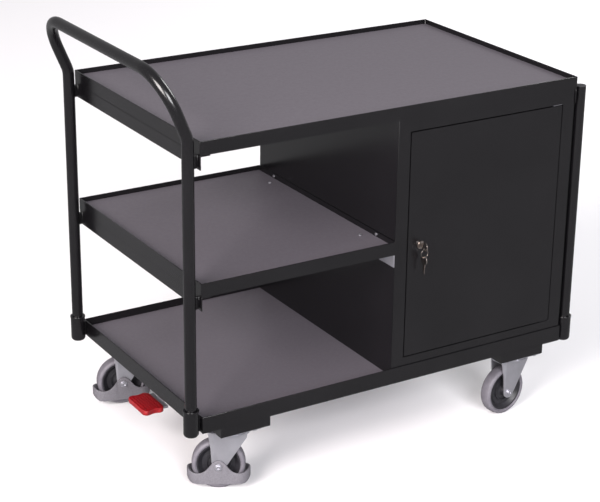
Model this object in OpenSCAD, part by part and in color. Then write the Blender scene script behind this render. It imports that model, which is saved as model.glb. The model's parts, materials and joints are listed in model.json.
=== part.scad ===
// Workshop trolley: three board decks, a lockable cabinet under the cabinet end of the
// top deck, a bent-tube push handle, four swivel casters and a pedal brake on two of them.
// Lengths in millimetres, +Z up, floor at z = 0. +X runs from the handle end to the
// cabinet end, and the door faces -Y.

/* [Decks] */
// Length of the load decks
deck_l = 1010; // [900:5:1250]
// Width of the load decks
deck_w = 625; // [520:5:760]
// Height of the rim angle round the top and middle decks
rim_h = 32; // [28:1:45]
// Height of the rim angle round the base deck
base_rim_h = 40; // [36:1:55]
// Wall of the rim angles and cross bars
rim_t = 2.5; // [2:0.5:4]
// Width of the flange that carries a board
flange_w = 25; // [18:1:40]
// Thickness of the boards
board_t = 18; // [12:1:22]
// Clearance round each board
board_gap = 0.5; // [0.2:0.1:1.5]
// Rise from the base rim to the middle rim
middle_rise = 321; // [260:1:400]
// Rise from the middle rim to the top rim
top_rise = 322; // [260:1:400]
// Height of the cross bars under the decks
bar_h = 32; // [25:1:45]

/* [Tubes] */
// Outer diameter of the upright tubes
tube_d = 26.9; // [24:0.1:32]
// Wall of the upright tubes
tube_wall = 2; // [1.5:0.5:3]
// Distance from the end of the decks to the tube centres
tube_stand_off = 22; // [20:1:30]
// Height of the right-hand posts above the underside of the top rim
post_proud = 3; // [1:1:10]
// Height of the grip bar's centre above the top rim
grip_rise = 145.5; // [110:0.5:200]
// Height of the lower bend above the top rim
kink_rise = 5; // [2:1:20]
// Lean of the handle legs, away from the decks
lean_angle = 22.6; // [15:0.1:30]
// Centre-line radius of the lower bend
kink_r = 60; // [45:1:80]
// Centre-line radius of the upper bends
grip_r = 92; // [70:1:95]
// Outer diameter of the corner sockets
socket_d = 35; // [33:0.5:40]
// Height of the corner sockets
socket_h = 65; // [60:1:80]
// Clearance between a tube and its socket, on the radius
socket_gap = 0.1; // [0.05:0.05:0.3]
// Thickness of the welded lugs
lug_t = 6; // [4:0.5:10]

/* [Cabinet] */
// Distance from the handle end of the decks to the cabinet
cabinet_x = 505; // [450:5:560]
// Thickness of the cabinet's side, back, roof and floor sheets
wall_t = 1.5; // [1:0.5:3]
// Thickness of the front frame and of the door skin
front_t = 2; // [1.5:0.5:3]
// Width of the front frame at the sides
frame_side_w = 33; // [28:1:45]
// Height of the front frame above the door
frame_top_w = 31.5; // [28:0.5:45]
// Height of the front frame below the door
frame_bottom_w = 40.5; // [36:0.5:55]
// Gap round the door
door_gap = 2.5; // [2.5:0.5:4]
// Thickness of the door
door_t = 18; // [16:1:24]
// Diameter of the door pivot pins
pivot_d = 6; // [5:0.5:8]
// Distance from the door's hinge edge to the pivots
pivot_inset = 12; // [11:0.5:13]
// Distance from the door's lock edge to the lock
lock_inset = 34; // [30:1:50]
// Distance from the door's top edge to the lock
lock_drop = 276; // [200:1:320]

/* [Casters] */
// Wheel diameter
wheel_d = 125; // [115:1:135]
// Tread width
tread_w = 32; // [28:1:36]
// Height from the floor to the top of the caster plates
caster_h = 164; // [156:1:174]
// Distance from the swivel axis to the axle
trail = 35; // [32:1:42]
// Distance from the handle end of the decks to the swivel axis
handle_caster_inset = 110; // [100:1:125]
// Distance from the cabinet end of the decks to the swivel axis
cabinet_caster_inset = 96; // [95:1:112]
// Distance from the side of the decks to the swivel axes
caster_side_inset = 56; // [54:1:75]
// Distance from the handle end of the decks to the middle of the first channel
handle_channel_inset = 110; // [102:1:118]
// Distance from the cabinet end of the decks to the middle of the second channel
cabinet_channel_inset = 116; // [108:1:118]
// Width of the two channels that carry the casters
channel_w = 128; // [120:1:145]
// Height of the two channels
channel_h = 23; // [20:1:30]
// Sheet thickness of the channels
channel_t = 3; // [2:0.5:4]
// Running clearance of pins and shafts, on the radius
run_gap = 0.05; // [0.03:0.01:0.1]

/* [Brake pedal] */
// Width of the tread
tread_pad_w = 95; // [80:1:110]
// Depth of the tread
tread_pad_d = 52; // [45:1:60]
// Height of the tread's top above the floor
tread_pad_z = 130; // [123:1:133]
// Distance from the handle end of the decks to the tread's far edge
tread_pad_x = 40; // [38:1:48]
// Diameter of the brake shaft
shaft_d = 12; // [10:0.5:14]
// Length of the brake cams, from shaft to plunger
cam_reach = 12; // [10:0.5:14]

/* [Hidden] */
$fn = 48;
eps = 0.01;

// Levels
base_z = caster_h + channel_h;
base_top = base_z + base_rim_h;
middle_top = base_top + middle_rise;
middle_z = middle_top - rim_h;
top_top = middle_top + top_rise;
top_z = top_top - rim_h;
board_seat = base_z + rim_t + board_t;
board_screw_r = 4;
board_screw_l = 3;
rim_screw_r = 3.5;

// Tubes
tube_r = tube_d / 2;
tube_y = tube_r;
left_tube_x = -tube_stand_off;
right_tube_x = deck_l + tube_stand_off;
socket_ring_r = socket_d / 2 + 1;
socket_z = base_z - 5;
tube_foot_z = socket_z + 8;
kink_z = top_top + kink_rise;
kink_start_z = kink_z - kink_r * tan(lean_angle / 2);
grip_z = top_top + grip_rise;
grip_x = left_tube_x - (grip_z - kink_z) * tan(lean_angle);
lean_l = (grip_z - kink_start_z - kink_r * sin(lean_angle)) / cos(lean_angle) - grip_r;
grip_l = deck_w - 2 * (tube_y + grip_r);
bend_lap = 1;
bend_step = 0.05;

// Cabinet
cab_x0 = cabinet_x;
cab_x1 = deck_l - rim_t - board_gap;
cab_y0 = rim_t + board_gap;
cab_y1 = deck_w - rim_t - board_gap;
cab_z0 = board_seat;
cab_z1 = top_z;
door_x0 = cab_x0 + frame_side_w + door_gap;
door_x1 = cab_x1 - frame_side_w - door_gap;
door_z0 = cab_z0 + frame_bottom_w + door_gap;
door_z1 = cab_z1 - frame_top_w - door_gap;
pivot_x = door_x1 - pivot_inset;
pivot_y = cab_y0 + door_t / 2;
lock_x = door_x0 + lock_inset;
lock_z = door_z1 - lock_drop;
lock_head_t = 5;
lock_head_r = 9.7;
plug_r = 6;
key_t = 2;
bow_r = 11;
bow_y = cab_y0 - lock_head_t - bow_r - 3;
ring_r = 9.5;
ring_wire_r = 0.8;
ring_hole_r = 3;
ring_top_z = lock_z - 6.9;
ring_z = ring_top_z - ring_r;

// Casters: name order is handle front, handle back, cabinet front, cabinet back
wheel_r = wheel_d / 2;
swivel_x = [handle_caster_inset, handle_caster_inset,
            deck_l - cabinet_caster_inset, deck_l - cabinet_caster_inset];
swivel_y = [caster_side_inset, deck_w - caster_side_inset,
            caster_side_inset, deck_w - caster_side_inset];
heading = [-30, -14, 7, -8];
plate_t = 3.5;
king_r = 8;
fork_t = 3.5;
fork_in = 21;
fork_out = fork_in + fork_t;
hub_half = 20.5;
rim_r = wheel_r - 15.5;
guard_t = 4;
guard_half_w = fork_out + 1 + guard_t;
guard_half_l = wheel_r + 11;
guard_z = 12;
plate_half = [42.5, 52.5];
bolt_half = [30, 40];

// Brake
shaft_x = handle_caster_inset + cam_reach;
shaft_z = caster_h + 16;
cam_tip_r = 5;
plunger_r = 3;
plunger_top = shaft_z - cam_tip_r - 0.3;

// The origin is the middle of the whole trolley's footprint, on the floor
mid_x = (grip_x - tube_r + right_tube_x + socket_ring_r) / 2;
mid_y = (bow_y - bow_r + deck_w - tube_y + socket_ring_r) / 2;

powder_black = "#2d2c2f";
board_grey = "#6f6c72";
zinc = "#b4b2ba";
guard_grey = "#9a989e";
tyre_grey = "#8d8990";
hub_black = "#3d3b42";
pedal_red = "#d4121f";
nickel = "#b9aca6";

module seat() translate([-mid_x, -mid_y, 0]) children();

// ---- tubes ----

// A bend that starts along +Z at the origin and turns towards -X
module rod_bend(r, bend_r, angle)
    translate([-bend_r, 0, 0])
        rotate([90, 0, 0])
            rotate_extrude(angle = angle)
                translate([bend_r, 0])
                    circle(r = r);

// Places its children at the far end of such a bend
module after_bend(bend_r, angle)
    translate([-bend_r + bend_r * cos(angle), 0, bend_r * sin(angle)])
        rotate([0, -angle, 0])
            children();

// One side of the handle's path as a solid rod: straights run a little way into the bends
module handle_side(r, foot) {
    straight_r = r - bend_step;
    translate([0, 0, tube_foot_z - foot])
        cylinder(r = straight_r, h = kink_start_z - tube_foot_z + foot + bend_lap);
    translate([0, 0, kink_start_z]) {
        rod_bend(r, kink_r, lean_angle);
        after_bend(kink_r, lean_angle) {
            translate([0, 0, -bend_lap]) cylinder(r = straight_r, h = lean_l + 2 * bend_lap);
            translate([0, 0, lean_l]) rotate([0, 0, -90]) rod_bend(r, grip_r, 90);
        }
    }
}

module handle_path(r, foot) {
    translate([left_tube_x, tube_y, 0]) handle_side(r, foot);
    translate([left_tube_x, deck_w - tube_y, 0]) mirror([0, 1, 0]) handle_side(r, foot);
    translate([grip_x, tube_y + grip_r - bend_lap, grip_z]) rotate([-90, 0, 0])
        cylinder(r = r - bend_step, h = grip_l + 2 * bend_lap);
}

module handle_bow() seat() color(powder_black) difference() {
    handle_path(tube_r, 0);
    handle_path(tube_r - tube_wall, 1);
}

module tube(l) linear_extrude(l) difference() {
    circle(r = tube_r);
    circle(r = tube_r - tube_wall);
}

module at_right_posts()
    for (y = [tube_y, deck_w - tube_y])
        translate([right_tube_x, y, 0]) children();

module end_posts() seat() color(powder_black)
    at_right_posts() translate([0, 0, tube_foot_z]) tube(top_z + post_proud - tube_foot_z);

module post_caps() seat() color(powder_black)
    at_right_posts() translate([0, 0, top_z + post_proud]) {
        cylinder(r = tube_r, h = 2);
        translate([0, 0, -12]) cylinder(r = tube_r - tube_wall - 0.2, h = 12 + eps);
    }

// A cup with a round foot and a collar, with the web that joins it to the base rim
module socket() {
    foot_r = 8;
    outer_r = socket_d / 2;
    difference() {
        union() {
            rotate_extrude($fn = 64) difference() {
                union() {
                    translate([0, foot_r]) square([outer_r, socket_h - foot_r]);
                    square([outer_r - foot_r, foot_r + eps]);
                    translate([outer_r - foot_r, foot_r]) circle(r = foot_r);
                    translate([0, socket_h - 4]) square([socket_ring_r, 4]);
                }
                translate([-outer_r, -eps]) square([outer_r, socket_h + 1]);
            }
            translate([0, -lug_t / 2, 9])
                cube([tube_stand_off, lug_t, base_rim_h - 8]);
        }
        translate([0, 0, tube_foot_z - socket_z]) cylinder(r = tube_r + socket_gap, h = socket_h);
    }
}

module corner_sockets() seat() color(powder_black)
    for (y = [tube_y, deck_w - tube_y]) {
        translate([left_tube_x, y, socket_z]) socket();
        translate([right_tube_x, y, socket_z]) mirror([1, 0, 0]) socket();
    }

// ---- decks ----

// A rectangle of angle section: an upright rim with a flange turned in at its foot
module rim_frame(l, h)
    difference() {
        cube([l, deck_w, h]);
        translate([rim_t, rim_t, rim_t]) cube([l - 2 * rim_t, deck_w - 2 * rim_t, h]);
        translate([flange_w, flange_w, -1]) cube([l - 2 * flange_w, deck_w - 2 * flange_w, h]);
    }

module board(l)
    translate([rim_t + board_gap, rim_t + board_gap, rim_t])
        cube([l - 2 * (rim_t + board_gap), deck_w - 2 * (rim_t + board_gap), board_t]);

module base_frame() seat() color(powder_black) translate([0, 0, base_z]) rim_frame(deck_l, base_rim_h);
module base_board() seat() color(board_grey) translate([0, 0, base_z]) board(deck_l);
module at_board_screws()
    for (y = [deck_w / 6, deck_w * 5 / 6])
        translate([cab_x0 - 30, y, middle_z + rim_t + board_t]) children();

module at_rim_screws()
    for (y = [deck_w / 8, deck_w * 7 / 8])
        translate([cab_x0 - rim_t, y, middle_top - 6]) rotate([0, -90, 0]) children();

module middle_frame() seat() color(powder_black) difference() {
    translate([0, 0, middle_z]) rim_frame(cab_x0, rim_h);
    at_rim_screws() translate([0, 0, -rim_t - 1]) cylinder(r = rim_screw_r / 2 + 0.1, h = rim_t + 2);
}

module middle_board() seat() color(board_grey) difference() {
    translate([0, 0, middle_z]) board(cab_x0);
    at_board_screws() translate([0, 0, -board_screw_l]) cylinder(r = board_screw_r / 2 + 0.1, h = board_screw_l + 1);
}

module top_frame() seat() color(powder_black) translate([0, 0, top_z]) rim_frame(deck_l, rim_h);
module top_board() seat() color(board_grey) translate([0, 0, top_z]) board(deck_l);

// A cross bar under a deck's end, with the lugs that carry it on two tubes
module cross_bar(leg) {
    lug_w = tube_stand_off;
    cube([rim_t, deck_w, bar_h]);
    translate([0, 0, bar_h - rim_t]) cube([leg, deck_w, rim_t]);
    for (y = [tube_y, deck_w - tube_y])
        difference() {
            translate([-lug_w, y - lug_t / 2, 0]) rotate([90, 0, 0]) translate([0, 0, -lug_t])
                linear_extrude(lug_t) polygon([[0, 2], [lug_w - 4, 2], [lug_w, 6], [lug_w, bar_h], [0, bar_h]]);
            translate([-lug_w, y, -1]) cylinder(r = tube_r + socket_gap, h = bar_h + 2);
        }
}

module top_cross_bars() seat() color(powder_black) translate([0, 0, top_z - bar_h]) {
    cross_bar(flange_w);
    // flat at the cabinet end, where the cabinet fills the space behind it
    translate([deck_l, 0, 0]) mirror([1, 0, 0]) cross_bar(rim_t);
}

module middle_cross_bar() seat() color(powder_black) translate([0, 0, middle_z - bar_h]) cross_bar(flange_w);

// The angle on the cabinet's wall that carries the middle deck
module shelf_rail() seat() color(powder_black)
    translate([cab_x0, 0, middle_z - bar_h]) mirror([1, 0, 0]) {
        translate([0, cab_y0, 0]) cube([rim_t, cab_y1 - cab_y0, bar_h]);
        translate([0, cab_y0, bar_h - rim_t]) cube([flange_w, cab_y1 - cab_y0, rim_t]);
    }

module pan_screw(head_r, l) {
    cylinder(r = head_r, h = 1.8);
    translate([0, 0, -l]) cylinder(r = head_r / 2, h = l + eps);
}

// Two screws down into the middle board's flange and two sideways into the cabinet wall
module deck_screws() seat() color(zinc) {
    at_board_screws() pan_screw(board_screw_r, board_screw_l);
    at_rim_screws() pan_screw(rim_screw_r, rim_t);
}

// ---- channels under the base ----

module bolt_spots(at)
    for (i = at, sx = [-1, 1], sy = [-1, 1])
        translate([swivel_x[i] + sx * bolt_half[0], swivel_y[i] + sy * bolt_half[1], 0]) children();

module channel(centre_x)
    translate([centre_x - channel_w / 2, 0, caster_h]) difference() {
        cube([channel_w, deck_w, channel_h]);
        translate([channel_t, channel_t, channel_t])
            cube([channel_w - 2 * channel_t, deck_w - 2 * channel_t, channel_h]);
    }

module handle_end_channel() seat() color(powder_black) difference() {
    channel(handle_channel_inset);
    bolt_spots([0, 1]) translate([0, 0, caster_h - 1]) cylinder(r = 4.2, h = channel_t + 2);
    for (i = [0, 1]) translate([swivel_x[i], swivel_y[i], caster_h - 1]) cylinder(r = 4, h = channel_t + 2);
    // slot for the pedal's arm
    translate([shaft_x - 46, deck_w / 2 - 17, caster_h - 1]) cube([56, 34, channel_t + 2]);
}

module cabinet_end_channel() seat() color(powder_black) difference() {
    channel(deck_l - cabinet_channel_inset);
    bolt_spots([2, 3]) translate([0, 0, caster_h - 1]) cylinder(r = 4.2, h = channel_t + 2);
}

// ---- cabinet ----

module cabinet_left_wall() seat() color(powder_black)
    translate([cab_x0, cab_y0 + front_t, cab_z0]) cube([wall_t, cab_y1 - cab_y0 - front_t, cab_z1 - cab_z0]);
module cabinet_right_wall() seat() color(powder_black)
    translate([cab_x1 - wall_t, cab_y0 + front_t, cab_z0])
        cube([wall_t, cab_y1 - cab_y0 - front_t, cab_z1 - cab_z0]);

// Sheets between the side walls, from the front frame to the back
module between_walls(z, y0, depth, h)
    translate([cab_x0 + wall_t, y0, z]) cube([cab_x1 - cab_x0 - 2 * wall_t, depth, h]);

module cabinet_back() seat() color(powder_black)
    between_walls(cab_z0, cab_y1 - wall_t, wall_t, cab_z1 - cab_z0);
module cabinet_roof() seat() color(powder_black)
    between_walls(cab_z1 - wall_t, cab_y0 + front_t, cab_y1 - cab_y0 - front_t - wall_t, wall_t);
module cabinet_floor() seat() color(powder_black)
    between_walls(cab_z0, cab_y0 + front_t, cab_y1 - cab_y0 - front_t - wall_t, wall_t);

// The door's surround, with the flange that the lock's cam catches
module cabinet_front_frame() seat() color(powder_black) {
    difference() {
        translate([cab_x0, cab_y0, cab_z0]) cube([cab_x1 - cab_x0, front_t, cab_z1 - cab_z0]);
        translate([door_x0 - door_gap, cab_y0 - 1, door_z0 - door_gap])
            cube([door_x1 - door_x0 + 2 * door_gap, front_t + 2, door_z1 - door_z0 + 2 * door_gap]);
    }
    translate([door_x0 - door_gap - front_t, cab_y0 + front_t - eps, door_z0])
        cube([front_t, door_t - front_t + 1, door_z1 - door_z0]);
}

shelf_y0 = cab_y0 + 75;
shelf_z = (cab_z0 + cab_z1) / 2 - 10;
shelf_lip = 20;

module cabinet_shelf() seat() color(powder_black)
    translate([cab_x0 + wall_t + 1, shelf_y0, shelf_z]) difference() {
        cube([cab_x1 - cab_x0 - 2 * wall_t - 2, cab_y1 - wall_t - 1 - shelf_y0, shelf_lip]);
        translate([wall_t, wall_t, -1])
            cube([cab_x1 - cab_x0 - 4 * wall_t - 2, cab_y1 - 3 * wall_t - 1 - shelf_y0, shelf_lip - wall_t + 1]);
    }

module shelf_pins() seat() color(zinc)
    for (y = [shelf_y0 + 40, cab_y1 - 60], side = [0, 1])
        translate([side == 0 ? cab_x0 + wall_t : cab_x1 - wall_t, y, shelf_z - 3])
            rotate([0, side == 0 ? 90 : -90, 0]) cylinder(r = 3, h = 14);

// One pivot at the door's top and one at its foot: an angle plate with a pin
module door_pivot() {
    plate_w = 26;
    plate_d = door_t - front_t - 1;
    translate([-plate_w / 2, cab_y0 + front_t, 1]) cube([plate_w, plate_d, 2.5]);
    translate([-plate_w / 2, cab_y0 + front_t, 1]) cube([plate_w, 2.5, 24]);
    translate([0, pivot_y, -10]) cylinder(r = pivot_d / 2, h = 12);
}

module door_pivots() seat() color(zinc) {
    translate([pivot_x, 0, door_z1]) door_pivot();
    translate([pivot_x, 0, door_z0]) mirror([0, 0, 1]) door_pivot();
}

module door_panel() seat() color(powder_black) {
    w = door_x1 - door_x0;
    h = door_z1 - door_z0;
    block_h = 13;
    difference() {
        union() {
            difference() {
                translate([door_x0, cab_y0, door_z0]) cube([w, door_t, h]);
                translate([door_x0 + front_t, cab_y0 + front_t, door_z0 + front_t])
                    cube([w - 2 * front_t, door_t, h - 2 * front_t]);
            }
            for (z = [door_z0, door_z1 - block_h])
                translate([door_x1 - 2 * pivot_inset, cab_y0, z]) cube([2 * pivot_inset, door_t, block_h]);
        }
        for (z = [door_z0 - 1, door_z1 - 11])
            translate([pivot_x, pivot_y, z]) cylinder(r = pivot_d / 2 + run_gap, h = 12);
        translate([lock_x, cab_y0 - 1, lock_z]) rotate([-90, 0, 0]) cylinder(r = 8.1, h = front_t + 2);
    }
}

// ---- lock ----

module at_lock(y) seat() translate([lock_x, y, lock_z]) rotate([-90, 0, 0]) children();

barrel_l = door_t + 2;

module lock_barrel() color(nickel) at_lock(cab_y0 - lock_head_t) difference() {
    union() {
        cylinder(r = lock_head_r - 1.2, h = 1.2 + eps);
        translate([0, 0, 1.2]) cylinder(r = lock_head_r, h = lock_head_t - 1.2);
        translate([0, 0, lock_head_t - eps]) cylinder(r = 8, h = barrel_l);
    }
    translate([0, 0, -1]) cylinder(r = plug_r + run_gap, h = barrel_l + lock_head_t + 2);
}

module lock_nut() color(zinc) at_lock(cab_y0 + front_t) difference() {
    cylinder(r = 13, h = 5, $fn = 6);
    translate([0, 0, -1]) cylinder(r = 8.1, h = 7);
}

module lock_plug() color(nickel) at_lock(cab_y0 - lock_head_t + 0.5) difference() {
    cylinder(r = plug_r, h = barrel_l + lock_head_t);
    translate([-key_t / 2 - 0.2, -4.3, -1]) cube([key_t + 0.4, 8.6, 19]);
}

cam_y = cab_y0 + barrel_l + 0.5;
cam_l = lock_inset + door_gap + 6;

module lock_cam() color(zinc) seat() translate([lock_x, cam_y, lock_z]) rotate([-90, 0, 0])
    linear_extrude(2.5) {
        circle(r = 9);
        translate([-7, 0]) square([14, cam_l]);
    }

// A flat key with its bow in the upright plane
module key(bow_hole_drop, blade_l) rotate([90, 0, 90]) translate([0, 0, -key_t / 2])
    linear_extrude(key_t) difference() {
        union() {
            circle(r = bow_r);
            translate([0, -4]) square([bow_r + blade_l, 8]);
        }
        translate([bow_hole_drop[0], bow_hole_drop[1]]) circle(r = ring_hole_r);
    }

module lock_key() color(nickel) seat() translate([lock_x, bow_y, lock_z])
    key([0, -5], 3 + lock_head_t + 12);

module key_ring() color(nickel) seat() translate([lock_x, bow_y, ring_z])
    rotate([90, 0, 0]) rotate_extrude() translate([ring_r, 0]) circle(r = ring_wire_r, $fn = 24);

module spare_key() color(nickel) seat()
    translate([lock_x, bow_y, ring_z - ring_r + ring_wire_r + 0.3 - ring_hole_r - 5])
        rotate([-90, 0, 0]) key([-5, 0], 24);

// ---- casters ----

module at_casters(at) seat() for (i = at) translate([swivel_x[i], swivel_y[i], 0]) children();
module swivelled(i) seat() translate([swivel_x[i], swivel_y[i], 0]) rotate([0, 0, heading[i]]) children();
module on_axle(i) swivelled(i) translate([-trail, 0, wheel_r]) rotate([90, 0, 0]) children();

race_z = caster_h - plate_t - 4;

module caster_plates() color(zinc) at_casters([0, 1, 2, 3]) difference() {
    union() {
        translate([-plate_half[0], -plate_half[1], caster_h - plate_t])
            cube([2 * plate_half[0], 2 * plate_half[1], plate_t]);
        translate([0, 0, race_z]) cylinder(r = 33, h = 4 + eps);
    }
    translate([0, 0, race_z - 1]) cylinder(r = king_r + run_gap, h = 12);
    for (sx = [-1, 1], sy = [-1, 1])
        translate([sx * bolt_half[0], sy * bolt_half[1], caster_h - plate_t - 1])
            cylinder(r = 4.2, h = plate_t + 2);
}

fork_top = race_z - 0.3;
fork_web_z = fork_top - 13;

module caster_kingpins() color(zinc) at_casters([0, 1, 2, 3]) difference() {
    union() {
        translate([0, 0, fork_web_z - 0.5]) cylinder(r = king_r, h = caster_h - fork_web_z + 0.5);
        translate([0, 0, fork_web_z - 5]) cylinder(r = 12, h = 4.5 + eps);
    }
    translate([0, 0, fork_web_z - 6]) cylinder(r = plunger_r + run_gap, h = 60);
}

module caster_fasteners() color(zinc) seat() bolt_spots([0, 1, 2, 3]) {
    translate([0, 0, caster_h - plate_t - 5]) cylinder(r = 7.4, h = 5, $fn = 6);
    translate([0, 0, caster_h - plate_t - eps]) cylinder(r = 4, h = plate_t + channel_t + 7);
    translate([0, 0, caster_h + channel_t]) difference() {
        cylinder(r = 7.4, h = 5.5, $fn = 6);
        translate([0, 0, -1]) cylinder(r = 4.1, h = 8);
    }
}

module fork_arm() {
    top = fork_web_z + 4 - wheel_r;
    linear_extrude(fork_t) difference() {
        union() {
            circle(r = 15);
            polygon([[-15, 0], [-18, 45], [-24, top], [trail + 32, top], [trail + 30, top - 12], [13, -7]]);
        }
        circle(r = 5.1);
    }
}

module fork(i) color(zinc) {
    for (side = [-1, 1])
        on_axle(i) translate([0, 0, side > 0 ? fork_in : -fork_out]) fork_arm();
    swivelled(i) difference() {
        union() {
            translate([-trail - 24, -fork_out, fork_web_z]) cube([trail + 56, 2 * fork_out, 4]);
            translate([0, 0, fork_web_z]) cylinder(r = 37, h = 4);
            translate([0, 0, fork_web_z + 4 - eps]) cylinder(r = 33, h = 9 + eps);
        }
        translate([0, 0, fork_web_z - 1]) cylinder(r = king_r + run_gap, h = 20);
    }
}

axle_reach = [guard_half_w, guard_half_w, fork_out, fork_out];

module axle(i) color(zinc) on_axle(i) {
    reach = axle_reach[i];
    translate([0, 0, -reach - 7]) cylinder(r = 5, h = 2 * reach + 7);
    translate([0, 0, reach]) cylinder(r = 8.5, h = 2.5);
    translate([0, 0, reach + 2.5 - eps]) cylinder(r = 6.5, h = 2.5);
    translate([0, 0, -reach - 6]) difference() {
        cylinder(r = 9, h = 6, $fn = 6);
        translate([0, 0, -1]) cylinder(r = 4.9, h = 8);
    }
}

module hub(i) color(hub_black) on_axle(i) rotate_extrude($fn = 64) polygon([
    [5 + run_gap, -hub_half], [13, -hub_half], [15, -6], [rim_r - 7, -5], [rim_r - 4, -13], [rim_r, -13],
    [rim_r, 13], [rim_r - 4, 13], [rim_r - 7, 5], [15, 6], [13, hub_half], [5 + run_gap, hub_half]
]);

// Rounded tread: an arc over each shoulder
module tyre(i) color(tyre_grey) on_axle(i) rotate_extrude($fn = 64) polygon(concat(
    [[rim_r, -tread_w / 2 + 1], [rim_r + 3, -tread_w / 2]],
    [for (a = [-90:15:0]) [wheel_r - 9 + 9 * cos(a), -tread_w / 2 + 9 + 9 * sin(a)]],
    [for (a = [0:15:90]) [wheel_r - 9 + 9 * cos(a), tread_w / 2 - 9 + 9 * sin(a)]],
    [[rim_r + 3, tread_w / 2], [rim_r, tread_w / 2 - 1]]
));

// A boat-shaped loop round the wheel, with a peak on each side that hangs on the axle
module guard_outline(half_l, half_w) {
    translate([-half_l + half_w, -half_w]) square([2 * (half_l - half_w), 2 * half_w]);
    for (s = [-1, 1]) translate([s * (half_l - half_w), 0]) circle(r = half_w);
}

module foot_guard(i) color(guard_grey) {
    valley_r = 42;
    valley_z = 28;
    axle_z = wheel_r - guard_z;
    swivelled(i) translate([-trail, 0, guard_z]) difference() {
        intersection() {
            linear_extrude(axle_z + 20) difference() {
                guard_outline(guard_half_l, guard_half_w);
                guard_outline(guard_half_l - guard_t, guard_half_w - guard_t);
            }
            rotate([90, 0, 0]) translate([0, 0, -guard_half_w - 1]) linear_extrude(2 * guard_half_w + 2) {
                difference() {
                    translate([-guard_half_l, 0]) square([2 * guard_half_l, axle_z]);
                    for (s = [-1, 1]) translate([s * 46, valley_z + valley_r]) circle(r = valley_r, $fn = 96);
                }
                translate([0, axle_z]) circle(r = 17);
            }
        }
        translate([0, guard_half_w + 1, axle_z]) rotate([90, 0, 0]) cylinder(r = 5.1, h = 2 * guard_half_w + 2);
    }
}

// ---- brake ----

module along_shaft(y) seat() translate([shaft_x, y, shaft_z]) rotate([-90, 0, 0]) children();

shaft_y0 = caster_side_inset - 20;
shaft_l = deck_w - 2 * shaft_y0;

module brake_shaft() color(zinc) {
    along_shaft(shaft_y0) cylinder(r = shaft_d / 2, h = shaft_l);
    for (i = [0, 1]) along_shaft(swivel_y[i] - 5) difference() {
        linear_extrude(10) {
            circle(r = shaft_d / 2 + 2.5);
            translate([-cam_reach, -cam_tip_r]) square([cam_reach, 2 * cam_tip_r]);
            translate([-cam_reach, 0]) circle(r = cam_tip_r);
        }
        translate([0, 0, -1]) cylinder(r = shaft_d / 2 + run_gap, h = 12);
    }
}

// Blocks on the channel's floor that carry the shaft
module brake_bearings() color(hub_black) seat()
    for (y = [deck_w / 2 - 120, deck_w / 2 + 105])
        difference() {
            translate([shaft_x - 14, y, caster_h + channel_t])
                cube([28, 15, shaft_z - caster_h - channel_t + 6]);
            translate([shaft_x, y - 1, shaft_z]) rotate([-90, 0, 0]) cylinder(r = shaft_d / 2 + run_gap, h = 17);
        }

arm_w = 28;
arm_t = 6;
tread_pad_t = 14;
arm_end_x = tread_pad_x - 6;
arm_end_z = tread_pad_z - tread_pad_t / 2;

module brake_arm() color(zinc) seat() {
    // The web hangs from a clamp round the shaft and widens into the plate under the tread
    difference() {
        union() {
            translate([0, deck_w / 2 + arm_w / 2, 0]) rotate([90, 0, 0]) linear_extrude(arm_w) {
                translate([shaft_x, shaft_z]) circle(r = shaft_d / 2 + 3);
                polygon([[shaft_x - 6, shaft_z - 6], [shaft_x - 1, shaft_z - 8],
                         [arm_end_x + 16, arm_end_z - arm_t / 2], [arm_end_x + 16, arm_end_z + arm_t / 2]]);
            }
            translate([arm_end_x, deck_w / 2 - 39, arm_end_z - arm_t / 2]) cube([20, 78, arm_t]);
        }
        translate([shaft_x, deck_w / 2 - arm_w / 2 - 1, shaft_z]) rotate([-90, 0, 0])
            cylinder(r = shaft_d / 2 + run_gap, h = arm_w + 2);
    }
}

// A ribbed pad, with the pocket that the arm's plate sits in
module brake_tread() color(pedal_red) seat()
    translate([tread_pad_x - tread_pad_d, deck_w / 2 - tread_pad_w / 2, tread_pad_z - tread_pad_t])
        difference() {
            union() {
                cube([tread_pad_d, tread_pad_w, tread_pad_t - 2]);
                for (x = [5:9:tread_pad_d - 6]) translate([x, 3, 0]) cube([4, tread_pad_w - 6, tread_pad_t]);
            }
            translate([tread_pad_d - 6, tread_pad_w / 2 - 39.3, tread_pad_t / 2 - arm_t / 2 - 0.1])
                cube([7, 78.6, arm_t + 0.2]);
        }

module plunger(i) color(zinc) at_casters([i]) {
    translate([0, 0, fork_web_z - 7]) cylinder(r = plunger_r, h = plunger_top - fork_web_z + 7);
    translate([0, 0, plunger_top - 2.5]) cylinder(r = 5, h = 2.5);
}

handle_bow();
end_posts();
post_caps();
corner_sockets();
base_frame();
base_board();
handle_end_channel();
cabinet_end_channel();
middle_frame();
middle_board();
top_frame();
top_board();
top_cross_bars();
middle_cross_bar();
shelf_rail();
cabinet_left_wall();
cabinet_right_wall();
cabinet_back();
cabinet_roof();
cabinet_floor();
cabinet_front_frame();
cabinet_shelf();
shelf_pins();
door_pivots();
deck_screws();
caster_plates();
caster_kingpins();
caster_fasteners();
brake_bearings();
brake_shaft();
brake_arm();
brake_tread();
plunger(0);  // brake_plunger_front
plunger(1);  // brake_plunger_back
door_panel();
lock_barrel();
lock_nut();
lock_plug();
lock_cam();
lock_key();
key_ring();
spare_key();
fork(0);  // fork_handle_front
axle(0);  // axle_handle_front
hub(0);  // hub_handle_front
tyre(0);  // tyre_handle_front
foot_guard(0);  // foot_guard_handle_front
fork(1);  // fork_handle_back
axle(1);  // axle_handle_back
hub(1);  // hub_handle_back
tyre(1);  // tyre_handle_back
foot_guard(1);  // foot_guard_handle_back
fork(2);  // fork_cabinet_front
axle(2);  // axle_cabinet_front
hub(2);  // hub_cabinet_front
tyre(2);  // tyre_cabinet_front
fork(3);  // fork_cabinet_back
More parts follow.
